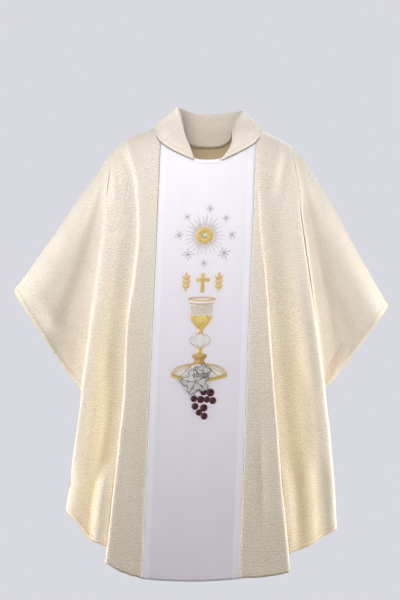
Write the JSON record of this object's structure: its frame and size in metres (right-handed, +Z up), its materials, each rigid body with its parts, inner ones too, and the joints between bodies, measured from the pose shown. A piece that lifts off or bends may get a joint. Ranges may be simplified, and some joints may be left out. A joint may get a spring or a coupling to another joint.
{
  "type": "chasuble",
  "caption": "Wide cream church vestment hanging as worn, arms low, with a folded collar and a white band embroidered with host, cup, leaf and grapes.",
  "frame": {"origin": "the point midway between the two places where the collar meets the shoulders, at the height of the shoulder-neck points", "axes": "+Z up, -Y towards the front of the garment, +X towards the right of someone who faces its front"},
  "size_m": [1.0495, 0.408, 1.3259],
  "materials": {
    "cream_weave": "cream ribbed jacquard with a small wavy ripple across the cloth, soft sheen",
    "collar_weave": "the same cream jacquard, cut for the collar",
    "white_satin": "plain white satin-faced cloth, smooth, soft sheen",
    "white_binding": "white bias binding",
    "gold_thread": "gold metallic embroidery thread in satin stitch",
    "silver_thread": "silver and white metallic embroidery thread",
    "silver_mesh": "open lattice of silver and pale gold thread",
    "bronze_thread": "brown-gold embroidery thread",
    "grey_thread": "grey and white embroidery thread with dark outlines",
    "wine_thread": "dark wine-red satin stitch"
  },
  "bodies": {
    "root": {"front_orphrey": "white_satin", "front_left_panel": "cream_weave", "front_right_panel": "cream_weave", "back_orphrey": "white_satin", "back_left_panel": "cream_weave", "back_right_panel": "cream_weave", "collar_fall": "collar_weave", "collar_stand": "collar_weave", "neck_binding": "white_binding", "host_disc": "silver_thread", "host_ring": "gold_thread", "ray_burst": "silver_thread", "star_1": "silver_thread", "star_2": "silver_thread", "star_3": "silver_thread", "star_4": "silver_thread", "star_5": "silver_thread", "star_6": "silver_thread", "star_7": "silver_thread", "star_8": "silver_thread", "wheat_ear_left": "gold_thread", "wheat_ear_right": "gold_thread", "small_cross": "gold_thread", "cup_rim": "gold_thread", "cup_bowl": "silver_mesh", "cup_calyx": "gold_thread", "cup_stem_upper": "gold_thread", "cup_knop": "silver_thread", "cup_stem_lower": "gold_thread", "cup_collar": "bronze_thread", "cup_foot": "silver_thread", "cup_foot_rim": "gold_thread", "vine_leaf": "grey_thread", "grape_1": "wine_thread", "grape_2": "wine_thread", "grape_3": "wine_thread", "grape_4": "wine_thread", "grape_5": "wine_thread", "grape_6": "wine_thread", "grape_7": "wine_thread", "grape_8": "wine_thread", "grape_9": "wine_thread", "grape_10": "wine_thread"}
  },
  "joints": []
}
